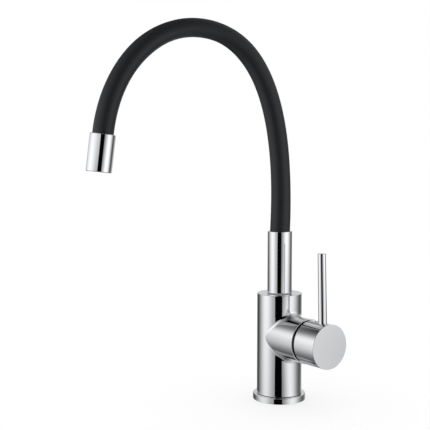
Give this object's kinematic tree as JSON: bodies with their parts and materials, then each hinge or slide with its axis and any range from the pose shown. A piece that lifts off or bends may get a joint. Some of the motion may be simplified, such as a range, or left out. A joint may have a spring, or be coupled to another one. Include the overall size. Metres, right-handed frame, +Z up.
{
  "type": "kitchen mixer tap",
  "caption": "Deck-mounted single-lever kitchen mixer tap with a swivelling, hand-bendable black hose spout, chrome column and a side cartridge worked by a pin lever.",
  "frame": {"origin": "centre of the foot on the deck plane, on the column's axis", "axes": "+Z up the column, +X along the cartridge housing towards the knob's face, -Y to the front, where the spout hangs, turned 15 degrees away from the lever"},
  "size_m": [0.1362, 0.2208, 0.3831],
  "materials": {
    "chrome": "mirror-polished chrome plating",
    "brass": "machined",
    "steel": "plain stainless",
    "black_rubber": "moulded",
    "black_silicone": "matte black silicone",
    "grey_plastic": "moulded grey",
    "black_plastic": "moulded satin black",
    "white_plastic": "moulded white",
    "ceramic": "lapped ceramic",
    "tube_plastic": "extruded tube"
  },
  "bodies": {
    "root": {"base_ring": "chrome", "base_seal": "black_rubber", "body_casting": "chrome", "spout_lock_screw": "steel", "cartridge_base": "grey_plastic", "hot_port_seal": "black_rubber", "cold_port_seal": "black_rubber", "outlet_port_seal": "black_rubber", "fixed_disc": "ceramic", "cartridge_case": "white_plastic", "retaining_nut": "brass", "trim_sleeve": "black_plastic"},
    "turret": {"cartridge_turret": "grey_plastic", "stem_pivot_pin": "steel"},
    "disc": {"disc_carrier": "grey_plastic", "moving_disc": "ceramic"},
    "lever": {"lever_stem": "brass", "knob": "chrome", "lever_pin": "chrome", "grub_screw": "steel"},
    "spout": {"spout_collar": "chrome", "spout_spigot": "brass", "lower_o_ring": "black_rubber", "upper_o_ring": "black_rubber", "swivel_washer": "grey_plastic", "lower_end_fitting": "brass", "hose_sleeve": "black_silicone", "support_spring": "steel", "inner_tube": "tube_plastic"},
    "head": {"nozzle_shell": "chrome", "upper_end_fitting": "brass", "aerator_housing": "grey_plastic", "aerator_screen": "white_plastic", "aerator_washer": "black_rubber"}
  },
  "joints": [
    {"name": "spout_swivel", "type": "hinge", "parent": "root", "child": "spout", "pos_m": [0, 0, 0.1096], "axis": [0, 0, 1], "continuous": true},
    {"name": "hose_bend", "type": "hinge", "parent": "spout", "child": "head", "pos_m": [-0.01941, -0.07244, 0.325], "axis": [-0.9659, 0.2588, 0], "range_deg": [-20, 30], "deforming": ["hose_sleeve", "support_spring", "inner_tube"]},
    {"name": "temperature_turn", "type": "hinge", "parent": "root", "child": "turret", "pos_m": [0.0276, 0, 0.0665], "axis": [1, 0, 0], "range_deg": [-45, 45]},
    {"name": "flow_tilt", "type": "hinge", "parent": "turret", "child": "lever", "pos_m": [0.0276, 0, 0.0665], "axis": [0, 1, 0], "range_deg": [0, 25]},
    {"name": "disc_slide", "type": "slide", "parent": "turret", "child": "disc", "axis": [0, 0, 1], "range_m": [0, 0.004]}
  ],
  "couplings": [
    {"joint": "disc_slide", "follows": "flow_tilt", "m_per_rad": 0.0091}
  ]
}
